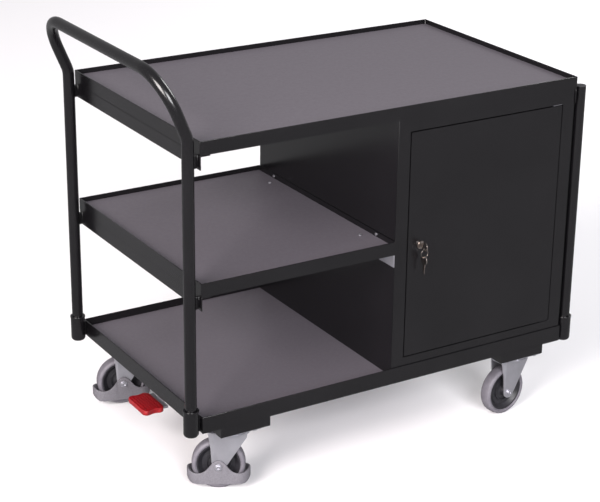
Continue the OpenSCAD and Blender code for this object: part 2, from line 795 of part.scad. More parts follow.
axle(3);  // axle_cabinet_back
hub(3);  // hub_cabinet_back
tyre(3);  // tyre_cabinet_back
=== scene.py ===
# %% [markdown]
# # A workshop cart
# The cart is black powder-coated steel with three grey boards, a cabinet with a locked door at
# one end and a bent-tube handle at the other. It rolls on four swivel casters. The steel pieces
# arrive ready built as a fixed frame, so this lesson gives them edges, finishes and fine detail.
# Lengths are in metres. Names that end in _mm, turned profiles, and the measures of the guards,
# screws and keys are in millimetres.

# %% Load the frame
import json
import math

import bmesh
import bpy
from mathutils import Matrix, Vector

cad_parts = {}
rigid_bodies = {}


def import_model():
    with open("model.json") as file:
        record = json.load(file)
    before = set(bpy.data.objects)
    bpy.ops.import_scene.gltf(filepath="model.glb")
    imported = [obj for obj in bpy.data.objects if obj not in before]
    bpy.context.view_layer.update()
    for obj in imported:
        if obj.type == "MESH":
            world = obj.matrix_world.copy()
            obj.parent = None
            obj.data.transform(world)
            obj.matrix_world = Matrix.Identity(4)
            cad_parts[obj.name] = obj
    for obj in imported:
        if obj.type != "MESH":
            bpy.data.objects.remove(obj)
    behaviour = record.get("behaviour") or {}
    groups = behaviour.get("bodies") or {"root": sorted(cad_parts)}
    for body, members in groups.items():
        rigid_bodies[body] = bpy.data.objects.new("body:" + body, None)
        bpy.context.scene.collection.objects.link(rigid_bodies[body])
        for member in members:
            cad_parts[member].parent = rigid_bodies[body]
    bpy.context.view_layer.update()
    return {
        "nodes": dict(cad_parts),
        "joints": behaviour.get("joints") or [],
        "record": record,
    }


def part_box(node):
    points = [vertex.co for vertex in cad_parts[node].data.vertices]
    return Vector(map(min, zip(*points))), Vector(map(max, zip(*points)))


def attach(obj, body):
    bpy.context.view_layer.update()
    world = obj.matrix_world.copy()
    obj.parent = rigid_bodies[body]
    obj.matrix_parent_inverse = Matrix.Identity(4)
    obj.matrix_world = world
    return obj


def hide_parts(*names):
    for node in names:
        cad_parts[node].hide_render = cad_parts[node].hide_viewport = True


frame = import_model()
cad_nodes = frame["nodes"]
mm = 0.001
print("pieces in the frame:", len(cad_nodes))

# %% [markdown]
# ## Camera
# A long lens from the handle end and the door side keeps the cart's uprights nearly parallel.
# It is set up as a product shot would be: turned 31.5 degrees round the cart, looking down 21.7
# degrees and rolled by less than a degree.

# %% Camera
turn, tilt, roll = math.radians(-31.486), math.radians(21.695), math.radians(0.706)
back = Vector((math.sin(turn) * math.cos(tilt), -math.cos(turn) * math.cos(tilt), math.sin(tilt)))
side = Vector((0, 0, 1)).cross(back).normalized()
up = back.cross(side)
side, up = (
    math.cos(roll) * side + math.sin(roll) * up,
    math.cos(roll) * up - math.sin(roll) * side,
)
camera_place = (-2.12088, -3.387725, 2.0168)
camera = bpy.data.objects.new("camera", bpy.data.cameras.new("camera"))
bpy.context.scene.collection.objects.link(camera)
facing = Matrix((side, up, back)).transposed().to_4x4()
camera.matrix_world = Matrix.Translation(camera_place) @ facing
camera.data.lens = 105.75
camera.data.sensor_width = 36
camera.data.clip_end = 60
bpy.context.scene.camera = camera
print("camera stands", round(camera.location.length, 2), "m from the origin")

# %% [markdown]
# ## Floor and light
# A pale seamless floor and large soft lamps suit a black object: its gloss then shows broad
# pale reflections in place of hard spots. Two lamps stand on the viewer's side, high enough to
# light the boards as well as the upright faces. A third one lights the floor behind the cart.
# The floor is kept out of reflections, because it would turn the black coat grey.

# %% A function for colours, one for nodes and the studio
def linear(hex_colour):
    """An sRGB hex colour such as #2d2c2f as the linear colour that Blender works in."""
    parts = [int(hex_colour[i : i + 2], 16) / 255 for i in (1, 3, 5)]
    return [c / 12.92 if c <= 0.04045 else ((c + 0.055) / 1.055) ** 2.4 for c in parts] + [1.0]


def add(tree, kind, inputs=None, **settings):
    """Adds a node with its settings; an input takes a number, a colour or another node's output."""
    made = tree.nodes.new(kind)
    for name, value in settings.items():
        setattr(made, name, value)
    for name, value in (inputs or {}).items():
        if isinstance(value, bpy.types.NodeSocket):
            tree.links.new(value, made.inputs[name])
        else:
            made.inputs[name].default_value = value
    return made


def new_material(name):
    """An empty material with one Principled shader: returns it, its tree and the shader."""
    material = bpy.data.materials.new(name)
    material.use_nodes = True
    tree = material.node_tree
    tree.nodes.clear()
    shader = add(tree, "ShaderNodeBsdfPrincipled")
    add(tree, "ShaderNodeOutputMaterial", {"Surface": shader.outputs[0]})
    return material, tree, shader


def soft_lamp(name, place, aim, size, power, colour):
    """A square soft lamp that points at aim."""
    lamp = bpy.data.objects.new(name, bpy.data.lights.new(name, "AREA"))
    lamp.data.size, lamp.data.energy, lamp.data.color = size, power, linear(colour)[:3]
    lamp.location = place
    lamp.rotation_mode = "QUATERNION"
    lamp.rotation_quaternion = (Vector(aim) - Vector(place)).to_track_quat("-Z", "Y")
    bpy.context.scene.collection.objects.link(lamp)


world = bpy.data.worlds.new("soft_room")
world.use_nodes = True
world.node_tree.nodes["Background"].inputs["Color"].default_value = linear("#fdfcff")
world.node_tree.nodes["Background"].inputs["Strength"].default_value = 0.4
bpy.context.scene.world = world
bpy.context.scene.view_settings.view_transform = "Standard"

soft_lamp("left_fill", (-6.5, -3.0, 3.8), (0, 0, 0.4), 4.0, 1150, "#fff8f6")
soft_lamp("front_fill", (-1.8, -7.8, 4.0), (0, 0, 0.4), 4.0, 900, "#fdfcff")
soft_lamp("far_floor", (6.5, 1.6, 4.2), (2.4, 3.9, 0), 3.0, 330, "#ffffff")

floor_material, tree, shader = new_material("painted_studio_floor")
shader.inputs["Base Color"].default_value = linear("#e9e8ea")
shader.inputs["Roughness"].default_value = 0.85
floor_mesh = bpy.data.meshes.new("floor")
floor_mesh.from_pydata([(-30, -30, 0), (30, -30, 0), (30, 30, 0), (-30, 30, 0)], [], [(0, 1, 2, 3)])
floor_mesh.materials.append(floor_material)
floor = bpy.data.objects.new("floor", floor_mesh)
bpy.context.scene.collection.objects.link(floor)
floor.visible_glossy = False

# %% [markdown]
# ## Powder coat
# Black polyester powder coat, baked on steel. It is a dielectric film over metal, so it has no
# metallic value. It cures with a faint orange peel of about 2 mm, which softens reflections,
# and its gloss is fairly high: broad lights smear a little, and the tubes show a bright line.

# %% Materials for the coated steel and the boards
def object_place(tree):
    """Object coordinates, which are metres on the real piece."""
    return add(tree, "ShaderNodeTexCoord").outputs["Object"]


def mottled(tree, dark, light, size_mm, detail=3.0):
    """A colour that drifts between two shades in patches of the given size."""
    noise = add(
        tree,
        "ShaderNodeTexNoise",
        {"Vector": object_place(tree), "Scale": 1000 / size_mm, "Detail": detail},
    )
    ramp = add(tree, "ShaderNodeValToRGB", {"Fac": noise.outputs["Fac"]})
    low_stop, high_stop = ramp.color_ramp.elements
    low_stop.position, high_stop.position = 0.35, 0.65
    low_stop.color, high_stop.color = linear(dark), linear(light)
    return ramp.outputs["Color"]


def grainy(tree, size_mm, depth_mm):
    """A bump of grains of the given size and depth."""
    noise = add(
        tree,
        "ShaderNodeTexNoise",
        {"Vector": object_place(tree), "Scale": 1000 / size_mm, "Detail": 2.0},
    )
    bump = add(
        tree,
        "ShaderNodeBump",
        {"Height": noise.outputs["Fac"], "Distance": depth_mm * mm, "Strength": 1.0},
    )
    return bump.outputs["Normal"]


def varied(tree, low, high, size_mm):
    """A number that drifts between low and high in patches of the given size."""
    noise = add(
        tree, "ShaderNodeTexNoise", {"Vector": object_place(tree), "Scale": 1000 / size_mm}
    )
    spread = add(
        tree,
        "ShaderNodeMapRange",
        {
            "Value": noise.outputs["Fac"],
            "From Min": 0.3, "From Max": 0.7,
            "To Min": low, "To Max": high,
        },
    )
    return spread.outputs["Result"]


powder_coat, tree, shader = new_material("black_powder_coat")
tree.links.new(mottled(tree, "#0a090b", "#0d0c0e", 180), shader.inputs["Base Color"])
tree.links.new(varied(tree, 0.2, 0.24, 30), shader.inputs["Roughness"])
tree.links.new(grainy(tree, 2.2, 0.006), shader.inputs["Normal"])

# %% [markdown]
# The boards are particle board with a grey melamine face. The paper under the resin has a very
# fine fleck, a few millimetres across when it is seen from a distance, and the face is matt.

# %% Board
board_face, tree, shader = new_material("grey_melamine_board")
fleck = mottled(tree, "#514c52", "#59545a", 5, 6.0)
blend = add(tree, "ShaderNodeMix", {"Factor": 0.5}, data_type="RGBA")
first_colour, second_colour, blended = blend.inputs[6], blend.inputs[7], blend.outputs[2]
tree.links.new(fleck, first_colour)
second_colour.default_value = linear("#57535a")
tree.links.new(blended, shader.inputs["Base Color"])
tree.links.new(varied(tree, 0.5, 0.56, 9), shader.inputs["Roughness"])
shader.inputs["Specular IOR Level"].default_value = 0.4
tree.links.new(grainy(tree, 3, 0.01), shader.inputs["Normal"])

# %% [markdown]
# ## Bright metals
# The casters are pressed steel with bright zinc plate: a metal, pale and slightly blue, with a
# soft cloudy gloss. The lock, the keys and the ring are nickel plate, warmer and smoother.

# %% Metals
zinc_plate, tree, shader = new_material("bright_zinc_plate")
tree.links.new(mottled(tree, "#b2b1b8", "#bab9c0", 30), shader.inputs["Base Color"])
tree.links.new(varied(tree, 0.38, 0.44, 12), shader.inputs["Roughness"])
tree.links.new(grainy(tree, 1.6, 0.004), shader.inputs["Normal"])
shader.inputs["Metallic"].default_value = 0.9

nickel_plate, tree, shader = new_material("nickel_plate")
tree.links.new(mottled(tree, "#a89f99", "#bcb3ad", 6), shader.inputs["Base Color"])
tree.links.new(varied(tree, 0.14, 0.24, 4), shader.inputs["Roughness"])
shader.inputs["Metallic"].default_value = 1.0

# %% [markdown]
# ## Rubber and plastics
# The tyres are grey thermoplastic rubber, the wheel centres black polypropylene. The foot guards
# are grey nylon from a spark-eroded mould, which leaves a fine even grain. The tread of the
# pedal is red nylon, and the caps on the posts are black polyethylene.

# %% Rubber and plastics
tyre_rubber, tree, shader = new_material("grey_tyre_rubber")
tree.links.new(mottled(tree, "#57545b", "#605d64", 12), shader.inputs["Base Color"])
tree.links.new(varied(tree, 0.5, 0.64, 8), shader.inputs["Roughness"])
tree.links.new(grainy(tree, 1.8, 0.02), shader.inputs["Normal"])

wheel_plastic, tree, shader = new_material("black_polypropylene")
tree.links.new(mottled(tree, "#19181c", "#201f24", 10), shader.inputs["Base Color"])
tree.links.new(varied(tree, 0.38, 0.5, 6), shader.inputs["Roughness"])
tree.links.new(grainy(tree, 1.5, 0.01), shader.inputs["Normal"])

guard_plastic, tree, shader = new_material("grained_grey_nylon")
tree.links.new(mottled(tree, "#545257", "#615f65", 3, 4.0), shader.inputs["Base Color"])
tree.links.new(varied(tree, 0.5, 0.66, 4), shader.inputs["Roughness"])
tree.links.new(grainy(tree, 2.4, 0.12), shader.inputs["Normal"])

pedal_plastic, tree, shader = new_material("red_nylon")
tree.links.new(mottled(tree, "#720109", "#88050f", 8), shader.inputs["Base Color"])
tree.links.new(varied(tree, 0.36, 0.48, 6), shader.inputs["Roughness"])
tree.links.new(grainy(tree, 1.6, 0.03), shader.inputs["Normal"])

cap_plastic, tree, shader = new_material("black_polyethylene")
tree.links.new(mottled(tree, "#161518", "#1d1c1f", 9), shader.inputs["Base Color"])
tree.links.new(varied(tree, 0.42, 0.52, 5), shader.inputs["Roughness"])
tree.links.new(grainy(tree, 1.2, 0.01), shader.inputs["Normal"])

materials = {
    "powder_black": powder_coat,
    "deck_board": board_face,
    "zinc_steel": zinc_plate,
    "nickel": nickel_plate,
    "tyre_grey": tyre_rubber,
    "hub_black": wheel_plastic,
    "cap_black": cap_plastic,
    "guard_grey": guard_plastic,
    "pedal_red": pedal_plastic,
}
print("materials:", len(materials))

# %% [markdown]
# ## Finish every piece of the frame
# Each piece of the frame names the finish it has, so one loop gives all of them their material.

# %% Give each piece its finish
slot_of = {s["node"]: s["material_slot"] for s in frame["record"]["subparts"]}
for name, cad in cad_nodes.items():
    cad.data.materials.clear()
    cad.data.materials.append(materials[slot_of[name]])
print("finished", len(slot_of), "pieces")

# %% [markdown]
# ## Rounded edges
# Folded and sheared steel never has a knife edge, and powder runs back from a corner, so every
# edge of the real cart catches a thin line of light. A copy of each piece is welded into one
# mesh, its flat areas are merged, and the edges that turn more than 35 degrees are rounded.
# Wide flat faces stay flat, so that only the rounded edges are shaded as curves.

# %% A copy with rounded edges stands for its piece
bodies = frame["record"]["behaviour"]["bodies"]
body_named = {node: body for body, nodes in bodies.items() for node in nodes}
edge_angle_deg = 35
narrow_face_mm = 3.2


def show(mesh, name, cad_names, body, slot):
    """Puts a finished mesh in the scene as a piece that stands for the named pieces."""
    if not mesh.materials:
        mesh.materials.append(materials[slot])
    piece = bpy.data.objects.new(name, mesh)
    bpy.context.scene.collection.objects.link(piece)
    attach(piece, body)
    if cad_names:
        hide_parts(*cad_names)
    return piece


def smooth_between_creases(mesh, crease_deg=edge_angle_deg):
    mesh.polygons.foreach_set("use_smooth", [True] * len(mesh.polygons))
    mesh.set_sharp_from_angle(angle=math.radians(crease_deg))


def round_edges(name, radius_mm, steps=2, crease_deg=edge_angle_deg, shape=None, slot=None):
    """Shows a copy with rounded edges for a frame piece; shape may alter the copy first."""
    build = bmesh.new()
    build.from_mesh(cad_nodes[name].data)
    bmesh.ops.remove_doubles(build, verts=build.verts, dist=1e-6)
    bmesh.ops.dissolve_limit(
        build, angle_limit=math.radians(0.5), verts=build.verts, edges=build.edges
    )
    if shape:
        shape(build)
    edge_angle = math.radians(edge_angle_deg)
    sharp = [e for e in build.edges if len(e.link_faces) == 2 and e.calc_face_angle() > edge_angle]
    bmesh.ops.bevel(
        build, geom=sharp, offset=radius_mm * mm, offset_type="OFFSET", segments=steps,
        profile=0.5, affect="EDGES", clamp_overlap=True,
    )
    mesh = bpy.data.meshes.new(name + "_rounded")
    build.to_mesh(mesh)
    build.free()
    smooth_between_creases(mesh, crease_deg)
    corner_places = [v.co for v in mesh.vertices]
    for face in mesh.polygons:
        loop = [corner_places[i] for i in face.vertices]
        girth = sum((b - a).length for a, b in zip(loop, loop[1:] + loop[:1]))
        face.use_smooth = 2 * face.area / girth < narrow_face_mm * mm
    return show(mesh, name + "_rounded", [name], body_named[name], slot or slot_of[name])


for name in ("base_frame", "middle_frame", "top_frame", "top_cross_bars", "middle_cross_bar",
             "cabinet_front_frame", "handle_end_channel", "cabinet_end_channel"):
    round_edges(name, 0.8)
for name in ("base_board", "middle_board", "top_board", "cabinet_shelf", "brake_bearings"):
    round_edges(name, 0.5)
round_edges("door_panel", 1.2, 3)
round_edges("caster_plates", 0.6)
round_edges("shelf_rail", 0.8, slot="zinc_steel")  # a guess: the record has this rail coated
round_edges("brake_arm", 0.8)

# %% [markdown]
# Both door pivots are bright pins. The lower pin is given the black coat as painted shade,
# so only the upper one shows a highlight.

# %% Door pivots, the lower pin painted black as shade
pivots = round_edges("door_pivots", 0.3)
pivot_low, pivot_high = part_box("door_pivots")
pivots.data.materials.append(powder_coat)
# the lower pin takes the black coat: painted shade where a bright pin would show a highlight
for face in pivots.data.polygons:
    if face.center.z < (pivot_low.z + pivot_high.z) / 2:
        face.material_index = 1

# %% [markdown]
# ## Forks
# A fork is pressed from one sheet. The press folds both edges of each arm a little towards the
# wheel, which stiffens the arm and gives it three faces that catch the light differently. The
# copy is cut along two upright lines beside the axle, and everything beyond a line leans in.

# %% Folded fork arms
wheel_joints = {
    j["child"].replace("wheel_", ""): j for j in frame["joints"] if j["name"].endswith("_roll")
}
arm_inner_face = 0.018


def fold_arms(joint, folds=((-12, 0.3), (24, 0.1))):
    """Folds fork arms about upright lines: each fold is (mm from the axle, slope)."""
    axle = Vector(joint["pos_m"])
    across = Vector(joint["axis"])
    along = Vector((across.y, -across.x, 0))

    def shape(build):
        for line_mm, slope in folds:
            away = math.copysign(1, line_mm)
            everything = build.verts[:] + build.edges[:] + build.faces[:]
            on_line = axle + along * line_mm * mm
            bmesh.ops.bisect_plane(build, geom=everything, plane_co=on_line, plane_no=along)
            for v in build.verts:
                beyond = away * ((v.co - axle).dot(along) - line_mm * mm)
                sideways = (v.co - axle).dot(across)
                if beyond > 0 and abs(sideways) > arm_inner_face:
                    v.co -= across * math.copysign(beyond * slope, sideways)

    return shape


for wheel, joint in wheel_joints.items():
    round_edges("fork_" + wheel, 0.8, crease_deg=5, shape=fold_arms(joint))
print("forks folded:", len(wheel_joints))

# %% [markdown]
# ## Foot guards
# Each guard is a nylon loop round the wheel that keeps a foot away from it. Its upper edge
# swells up to the axle like a saddle and its lower edge turns up at both ends. Both edges are
# simple formulas of the distance from the axle, so the loop is made from its cross-sections.

# %% Foot guards
guard_half_l, guard_half_w, guard_wall = 73.4, 29.4, 4.0
guard_rim_height, saddle_rise, saddle_half_l = 46, 33, 25
guard_foot_height, tip_start, lift_start = 19, 52, 58


def guard_top(u):
    """Height of the guard's upper edge above the floor, in mm, at a distance from the axle."""
    tip = max(0.0, abs(u) - tip_start) / (guard_half_l - tip_start)
    saddle = saddle_rise * math.exp(-((abs(u) / saddle_half_l) ** 2.4))
    return guard_rim_height + saddle + 5 * tip ** 2


def guard_foot(u):
    """Height of the guard's lower edge, in the same way."""
    lift = max(0.0, abs(u) - lift_start) / (guard_half_l - lift_start)
    return guard_foot_height + 10 * lift ** 2


def guard_loop():
    """Points of the loop's middle line in mm and its outward directions there."""
    straight = guard_half_l - guard_half_w
    line, side_steps, bend_steps = [], 48, 24
    for end in (1, -1):
        for i in range(side_steps):
            u = end * (straight - 2 * straight * i / side_steps)
            line.append((u, -end * guard_half_w, 0, -end))
        for i in range(bend_steps):
            angle = math.radians(-90 + 180 * i / bend_steps)
            nx, ny = -end * math.cos(angle), end * math.sin(angle)
            line.append((-end * straight + nx * guard_half_w, ny * guard_half_w, nx, ny))
    return line


for wheel in ("handle_front", "handle_back"):
    axle = Vector(wheel_joints[wheel]["pos_m"])
    across = Vector(wheel_joints[wheel]["axis"])
    along = Vector((across.y, -across.x, 0))
    build = bmesh.new()
    sections = []
    for u, v, nu, nv in guard_loop():
        inner = (u - nu * guard_wall, v - nv * guard_wall)
        low_h, high_h = guard_foot(u), guard_top(u)
        corners = ((u, v, low_h), (u, v, high_h), (*inner, high_h), (*inner, low_h))
        sections.append([
            build.verts.new(Vector((axle.x, axle.y, h * mm)) + along * a * mm + across * b * mm)
            for a, b, h in corners
        ])
    neighbours = list(zip(sections, sections[1:] + sections[:1]))
    for one, two in neighbours:
        for k in range(4):
            build.faces.new((one[k], two[k], two[(k + 1) % 4], one[(k + 1) % 4]))
    long_edges = [build.edges.get((one[k], two[k])) for one, two in neighbours for k in range(4)]
    bmesh.ops.bevel(
        build, geom=long_edges, offset=1.1 * mm, segments=3, profile=0.5, affect="EDGES"
    )
    bmesh.ops.recalc_face_normals(build, faces=build.faces)
    mesh = bpy.data.meshes.new("foot_loop_" + wheel)
    build.to_mesh(mesh)
    build.free()
    smooth_between_creases(mesh, 50)
    show(mesh, "foot_loop_" + wheel, ["foot_guard_" + wheel], "swivel_" + wheel, "guard_grey")

# %% [markdown]
# ## Tubes
# The handle is one steel tube, bent cold on four formers. A path with filleted corners gives the
# centre line, and a Geometry Nodes tree sweeps a circle along it. The same tree makes the two
# posts and the wire of the key ring, because each is a round bar along a path.

# %% A Geometry Nodes tree that sweeps a round bar along a path
def group_input(tree, name, kind, value):
    """Adds a named input to a node tree and returns its identifier."""
    socket = tree.interface.new_socket(name, in_out="INPUT", socket_type=kind)
    if value is not None:
        socket.default_value = value
    return socket.identifier


def new_tree(name):
    tree = bpy.data.node_groups.new(name, "GeometryNodeTree")
    tree.interface.new_socket("Geometry", in_out="OUTPUT", socket_type="NodeSocketGeometry")
    group_input(tree, "Geometry", "NodeSocketGeometry", None)
    return tree


bar_tree = new_tree("round_bar")
bar_inputs = {
    "radius": group_input(bar_tree, "Bar radius", "NodeSocketFloat", 0.01),
    "sides": group_input(bar_tree, "Sides", "NodeSocketInt", 48),
    "material": group_input(bar_tree, "Finish", "NodeSocketMaterial", None),
}
asked = add(bar_tree, "NodeGroupInput")
path = add(bar_tree, "GeometryNodeMeshToCurve", {"Mesh": asked.outputs["Geometry"]})
ring = add(
    bar_tree,
    "GeometryNodeCurvePrimitiveCircle",
    {"Resolution": asked.outputs["Sides"], "Radius": asked.outputs["Bar radius"]},
)
swept = add(
    bar_tree,
    "GeometryNodeCurveToMesh",
    {"Curve": path.outputs["Curve"], "Profile Curve": ring.outputs["Curve"], "Fill Caps": True},
)
real = add(bar_tree, "GeometryNodeRealizeInstances", {"Geometry": swept.outputs["Mesh"]})
painted = add(
    bar_tree,
    "GeometryNodeSetMaterial",
    {"Geometry": real.outputs["Geometry"], "Material": asked.outputs["Finish"]},
)
add(bar_tree, "NodeGroupOutput", {"Geometry": painted.outputs["Geometry"]})


def run_tree(tree, mesh, inputs, name):
    """Runs a tree on a mesh and returns the result as a plain mesh with outward faces."""
    maker = bpy.data.objects.new(name + "_maker", mesh)
    bpy.context.scene.collection.objects.link(maker)
    modifier = maker.modifiers.new("nodes", "NODES")
    modifier.node_group = tree
    for identifier, value in inputs.items():
        modifier[identifier] = value
    bpy.context.view_layer.update()
    evaluated = maker.evaluated_get(bpy.context.evaluated_depsgraph_get())
    shape = bpy.data.meshes.new_from_object(evaluated)
    bpy.data.objects.remove(maker)
    build = bmesh.new()
    build.from_mesh(shape)
    bmesh.ops.remove_doubles(build, verts=build.verts, dist=1e-7)
    bmesh.ops.recalc_face_normals(build, faces=build.faces)
    build.to_mesh(shape)
    build.free()
    shape.name = name
    smooth_between_creases(shape, 40)
    return shape


def path_mesh(paths, name):
    """One mesh of open paths, each a list of points."""
    points, edges = [], []
    for one in paths:
        edges += [(len(points) + i, len(points) + i + 1) for i in range(len(one) - 1)]
        points += [tuple(p) for p in one]
    mesh = bpy.data.meshes.new(name)
    mesh.from_pydata(points, edges, [])
    return mesh


def filleted(corners, radii, steps=14):
    """A path through the corners, with an arc of the given radius at each inner corner."""
    path = [Vector(corners[0])]
    for before, corner, after, radius in zip(corners, corners[1:], corners[2:], radii):
        corner = Vector(corner)
        a, b = (Vector(before) - corner).normalized(), (Vector(after) - corner).normalized()
        half = a.angle(b) / 2
        middle = (a + b).normalized() * (radius / math.sin(half))
        start, end = a * (radius / math.tan(half)), b * (radius / math.tan(half))
        first, last = start - middle, end - middle
        for i in range(steps + 1):
            path.append(corner + middle + first.slerp(last, i / steps).normalized() * radius)
    path.append(Vector(corners[-1]))
    return path


# %% [markdown]
# The legs stand in the corner sockets and bend away from the deck just above its top. The whole
# upper part of the bow lies in one leaning plane.

# %% Handle, posts and caps
tube_r = 0.01345
leg_from_socket_edge, kink_above_deck = 0.0185, 0.005
handle_low, handle_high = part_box("handle_bow")
socket_low, socket_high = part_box("corner_sockets")
post_low, post_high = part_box("end_posts")
leg_x = socket_low.x + leg_from_socket_edge
grip_x, grip_z = handle_low.x + tube_r, handle_high.z - tube_r
kink_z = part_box("top_frame")[1].z + kink_above_deck
foot_z = handle_low.z
front_y, back_y = handle_low.y + tube_r, handle_high.y - tube_r
bow = filleted(
    [(leg_x, front_y, foot_z), (leg_x, front_y, kink_z), (grip_x, front_y, grip_z),
     (grip_x, back_y, grip_z), (leg_x, back_y, kink_z), (leg_x, back_y, foot_z)],
    [0.060, 0.092, 0.092, 0.060],
)
bar_values = {
    bar_inputs["radius"]: tube_r, bar_inputs["sides"]: 48, bar_inputs["material"]: powder_coat
}
handle_mesh = run_tree(bar_tree, path_mesh([bow], "bow_path"), bar_values, "handle_tube")
show(handle_mesh, "handle_tube", ["handle_bow"], "trolley_frame", "powder_black")

post_x = (post_low.x + post_high.x) / 2
posts = [[(post_x, y, post_low.z), (post_x, y, post_high.z)] for y in (front_y, back_y)]
post_mesh = run_tree(bar_tree, path_mesh(posts, "post_paths"), bar_values, "post_tubes")
show(post_mesh, "post_tubes", ["end_posts"], "trolley_frame", "powder_black")
print("handle tube is", round(sum((b - a).length for a, b in zip(bow, bow[1:])), 2), "m long")

# %% [markdown]
# ## Turned and moulded round pieces
# Sockets, caps and wheel centres are round, so each is a profile turned about an axis. The
# profile carries the small radii that a mould or a press leaves.

# %% Turn a profile about an axis
def arc(centre_r, centre_h, radius, start_deg, end_deg, steps=5):
    """Points of an arc in a profile, as (distance from the axis, height)."""
    return [
        (centre_r + radius * math.cos(math.radians(start_deg + (end_deg - start_deg) * i / steps)),
         centre_h + radius * math.sin(math.radians(start_deg + (end_deg - start_deg) * i / steps)))
        for i in range(steps + 1)
    ]


def turned(build, profile_mm, place, sides=64):
    """Turns a closed profile in millimetres about Z and puts it at a place, inside one bmesh."""
    rings = []
    for i in range(sides):
        angle = 2 * math.pi * i / sides
        c, s = math.cos(angle), math.sin(angle)
        rings.append([
            build.verts.new(place @ Vector((max(r, 0) * mm * c, max(r, 0) * mm * s, h * mm)))
            for r, h in profile_mm
        ])
    count = len(profile_mm)
    for i in range(sides):
        for j in range(count):
            a, b = rings[i], rings[(i + 1) % sides]
            build.faces.new((a[j], b[j], b[(j + 1) % count], a[(j + 1) % count]))


def finished(build, name, crease_deg=35):
    bmesh.ops.remove_doubles(build, verts=build.verts, dist=1e-7)
    bmesh.ops.dissolve_degenerate(build, dist=1e-7, edges=build.edges)
    bmesh.ops.recalc_face_normals(build, faces=build.faces)
    mesh = bpy.data.meshes.new(name)
    build.to_mesh(mesh)
    build.free()
    smooth_between_creases(mesh, crease_deg)
    return mesh


# %% [markdown]
# A socket is a drawn steel cup with a rounded foot and a rolled collar. A flat web, welded on
# both edges, ties it to the base.

# %% Corner sockets
def plate(build, low, high, radius_mm=0.8):
    """A flat steel plate with rounded edges, inside a bmesh."""
    made = bmesh.ops.create_cube(build, size=1)["verts"]
    for v in made:
        v.co = Vector([low[i] + (v.co[i] + 0.5) * (high[i] - low[i]) for i in range(3)])
    edges = dict.fromkeys(e for v in made for e in v.link_edges)  # each edge once, in order
    bmesh.ops.bevel(
        build, geom=list(edges), offset=radius_mm * mm, segments=2, profile=0.5, affect="EDGES"
    )


socket_profile = (
    [(0, 0)] + arc(9.5, 8, 8, -90, 0) + [(17.5, 60.4)] + arc(17.7, 61.2, 0.8, -90, 0, 3)
    + arc(17.5, 64, 1, 0, 90, 3) + arc(14.4, 64.2, 0.8, 90, 180, 3) + [(13.6, 12), (0, 12)]
)
base_low, base_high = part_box("base_frame")
build = bmesh.new()
for x, deck_x in ((leg_x, base_low.x), (post_x, base_high.x)):
    for y in (front_y, back_y):
        turned(build, socket_profile, Matrix.Translation((x, y, socket_low.z)))
        web = sorted((x + math.copysign(0.017, deck_x - x), deck_x))
        web_low = (web[0], y - 0.003, socket_low.z + 0.009)
        plate(build, web_low, (web[1], y + 0.003, base_high.z + 0.001))
show(finished(build, "corner_sockets_turned"), "corner_sockets_turned", ["corner_sockets"],
     "trolley_frame", "powder_black")

cap_profile = [(0, -12), (11, -12), (11.2, 0)] + arc(12.65, 0.8, 0.8, -90, 0, 3)
cap_profile += arc(12.45, 1, 1, 0, 90, 4) + [(0, 2)]
cap_z = post_high.z
build = bmesh.new()
for y in (front_y, back_y):
    turned(build, cap_profile, Matrix.Translation((post_x, y, cap_z)))
show(finished(build, "post_caps_turned"), "post_caps_turned", ["post_caps"],
     "trolley_frame", "cap_black")

# %% [markdown]
# ## Wheel centres
# The centre is moulded with a dished web, a stiffening ring part way out and a rim that the
# tyre is moulded on to. The tyre has soft shoulders and a faint crown. Both are turned in
# place on the line of the wheel's own joint.

# %% Wheel centres and tyres
hub_profile = [(5.1, -20.5), (11.5, -20.5), (12.8, -19.5), (14.6, -8)]
hub_profile += [(20, -5.4), (25.5, -5), (26.2, -8.2), (28.4, -8.2), (29.2, -5), (38, -4.6)]
hub_profile += [(46.4, -11.2), (47.2, -12.4), (48.2, -12.8), (51.3, -12.8)]
hub_profile += [(r, -h) for r, h in reversed(hub_profile)]
tyre_profile = [(50.8, -13), (51.8, -13.6), (53, -15), (54, -15.6)]
tyre_profile += arc(53.5, -7, 8.8, -80, -18, 7) + [(62.35, -2), (62.45, 0)]
tyre_profile += [(r, -h) for r, h in reversed(tyre_profile[:-1])]


def axle_place(joint, facing=1):
    """Turns Z along a wheel's axis, or against it for -1, and moves to the wheel's centre."""
    line = Vector(joint["axis"]) * facing
    return Matrix.Translation(joint["pos_m"]) @ line.to_track_quat("Z", "Y").to_matrix().to_4x4()


for wheel, joint in wheel_joints.items():
    place = axle_place(joint)
    build = bmesh.new()
    turned(build, tyre_profile, place, 96)
    show(finished(build, "tyre_moulded_" + wheel, 40), "tyre_moulded_" + wheel, ["tyre_" + wheel],
         joint["child"], "tyre_grey")
    build = bmesh.new()
    turned(build, hub_profile, place, 80)
    show(finished(build, "hub_moulded_" + wheel, 30), "hub_moulded_" + wheel, ["hub_" + wheel],
         joint["child"], "hub_black")

# %% [markdown]
# ## Axle screws
# Each wheel turns on a through screw: a washer and a round head with a hexagon socket on the
# outer side, and a washer and a nut on the inner side. The socket is a real recess, because its
# dark floor is what makes the head read as a screw.

# %% Axle screws
def prism(build, points_mm, low_mm, high_mm, place):
    """A straight prism between two heights, inside a bmesh."""
    rings = [
        [build.verts.new(place @ Vector((x * mm, y * mm, h * mm))) for x, y in points_mm]
        for h in (low_mm, high_mm)
    ]
    build.faces.new(list(reversed(rings[0])))
    build.faces.new(rings[1])
    for i in range(len(points_mm)):
        j = (i + 1) % len(points_mm)
        build.faces.new((rings[0][i], rings[0][j], rings[1][j], rings[1][i]))


plain_fork_half_w = 24.5


def hexagon(across_corners):
    radius = across_corners / 2
    return [
        (radius * math.cos(math.radians(60 * i)), radius * math.sin(math.radians(60 * i)))
        for i in range(6)
    ]


